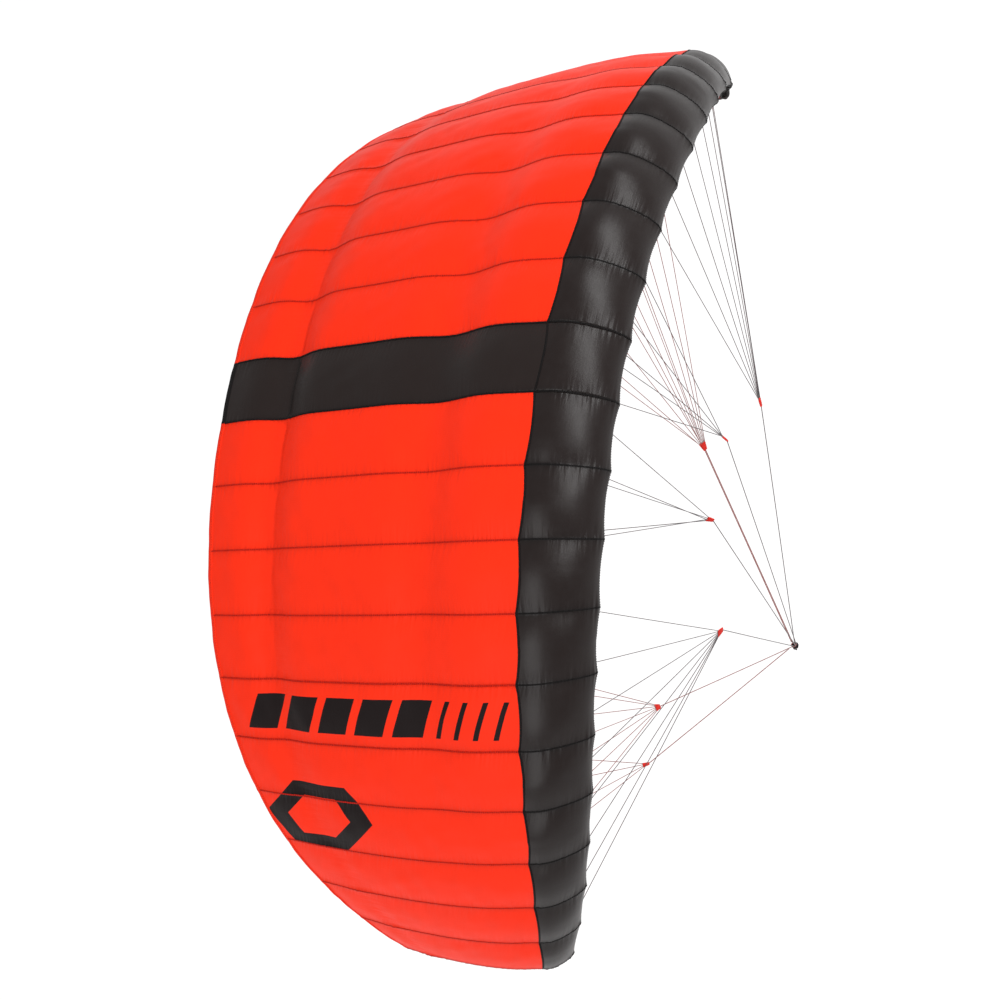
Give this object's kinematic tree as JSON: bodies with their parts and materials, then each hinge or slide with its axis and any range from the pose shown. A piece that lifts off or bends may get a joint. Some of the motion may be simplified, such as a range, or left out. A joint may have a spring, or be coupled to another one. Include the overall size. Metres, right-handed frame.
{
  "type": "ram-air foil kite",
  "caption": "Arc-shaped ram-air foil power kite with a dark leading edge band, ribbed cells, trailing-edge brake flaps and a cascaded bridle meeting at one tow point.",
  "frame": {"origin": "tow point, at the centre of the tow tab's lower face, which holds the kite", "axes": "+Z from the tow point towards the centre of the canopy, X along the span, leading edge towards -Y"},
  "size_m": [2.5546, 1.2261, 2.1254],
  "materials": {
    "red_ripstop": "satin coated ripstop nylon",
    "black_ripstop": "satin coated ripstop nylon",
    "inlet_mesh": "open woven mesh",
    "rib_cloth": "matt coated nylon",
    "grey_line": "braided sheath",
    "red_line": "braided sheath",
    "black_webbing": "woven webbing"
  },
  "bodies": {
    "canopy": {"belly_skin_inner_left": "red_ripstop", "belly_skin_inner_right": "red_ripstop", "belly_skin_outer_left": "red_ripstop", "belly_skin_outer_right": "red_ripstop", "centre_belly": "red_ripstop", "centre_nose_band": "black_ripstop", "centre_stripe": "black_ripstop", "front_inner_fan_left": "grey_line", "front_inner_fan_right": "grey_line", "front_inner_main_line_left": "grey_line", "front_inner_main_line_right": "grey_line", "front_outer_fan_left": "grey_line", "front_outer_fan_right": "grey_line", "front_outer_main_line_left": "grey_line", "front_outer_main_line_right": "grey_line", "inlet_mesh_left": "inlet_mesh", "inlet_mesh_right": "inlet_mesh", "nose_band_inner_left": "black_ripstop", "nose_band_inner_right": "black_ripstop", "nose_band_outer_left": "black_ripstop", "nose_band_outer_right": "black_ripstop", "rear_fan_left": "grey_line", "rear_fan_right": "grey_line", "rear_main_line_left": "grey_line", "rear_main_line_right": "grey_line", "rib_left_00": "rib_cloth", "rib_left_01": "rib_cloth", "rib_left_02": "rib_cloth", "rib_left_03": "rib_cloth", "rib_left_04": "rib_cloth", "rib_left_05": "rib_cloth", "rib_left_06": "rib_cloth", "rib_left_07": "rib_cloth", "rib_left_08": "rib_cloth", "rib_left_09": "rib_cloth", "rib_left_10": "rib_cloth", "rib_right_00": "rib_cloth", "rib_right_01": "rib_cloth", "rib_right_02": "rib_cloth", "rib_right_03": "rib_cloth", "rib_right_04": "rib_cloth", "rib_right_05": "rib_cloth", "rib_right_06": "rib_cloth", "rib_right_07": "rib_cloth", "rib_right_08": "rib_cloth", "rib_right_09": "rib_cloth", "rib_right_10": "rib_cloth", "top_skin_inner_left": "red_ripstop", "top_skin_inner_right": "red_ripstop", "top_skin_outer_left": "red_ripstop", "top_skin_outer_right": "red_ripstop", "tow_tab": "black_webbing"},
    "flap_left": {"trailing_flap_left": "red_ripstop"},
    "brake_bridle_left": {"brake_fan_left": "red_line", "brake_main_line_left": "red_line"},
    "pigtail_left": {"pigtail_loop_left": "black_webbing"},
    "flap_right": {"trailing_flap_right": "red_ripstop"},
    "brake_bridle_right": {"brake_fan_right": "red_line", "brake_main_line_right": "red_line"},
    "pigtail_right": {"pigtail_loop_right": "black_webbing"}
  },
  "joints": [
    {"name": "flap_left_hinge", "type": "hinge", "parent": "canopy", "child": "flap_left", "pos_m": [-0.70465, 0.37514, 1.78432], "axis": [-0.594, -0.1413, -0.792], "range_deg": [0, 20], "stiffness_Nm_per_rad": 0.6},
    {"name": "brake_bridle_left_pivot", "type": "hinge", "parent": "flap_left", "child": "brake_bridle_left", "pos_m": [-1.02403, 0.51051, 1.45414], "axis": [-0.594, -0.1413, -0.792], "range_deg": [-20, 0]},
    {"name": "pigtail_left_swing", "type": "hinge", "parent": "canopy", "child": "pigtail_left", "pos_m": [-0.0085, 0, 0.005], "axis": [1, 0, 0], "range_deg": [-75, 75]},
    {"name": "flap_right_hinge", "type": "hinge", "parent": "canopy", "child": "flap_right", "pos_m": [0.70465, 0.37514, 1.78432], "axis": [-0.594, 0.1413, 0.792], "range_deg": [0, 20], "stiffness_Nm_per_rad": 0.6},
    {"name": "brake_bridle_right_pivot", "type": "hinge", "parent": "flap_right", "child": "brake_bridle_right", "pos_m": [1.02403, 0.51051, 1.45414], "axis": [-0.594, 0.1413, 0.792], "range_deg": [-20, 0]},
    {"name": "pigtail_right_swing", "type": "hinge", "parent": "canopy", "child": "pigtail_right", "pos_m": [0.0085, 0, 0.005], "axis": [1, 0, 0], "range_deg": [-75, 75]}
  ],
  "couplings": [
    {"joint": "brake_bridle_left_pivot", "follows": "flap_left_hinge", "ratio": -1},
    {"joint": "brake_bridle_right_pivot", "follows": "flap_right_hinge", "ratio": -1}
  ]
}
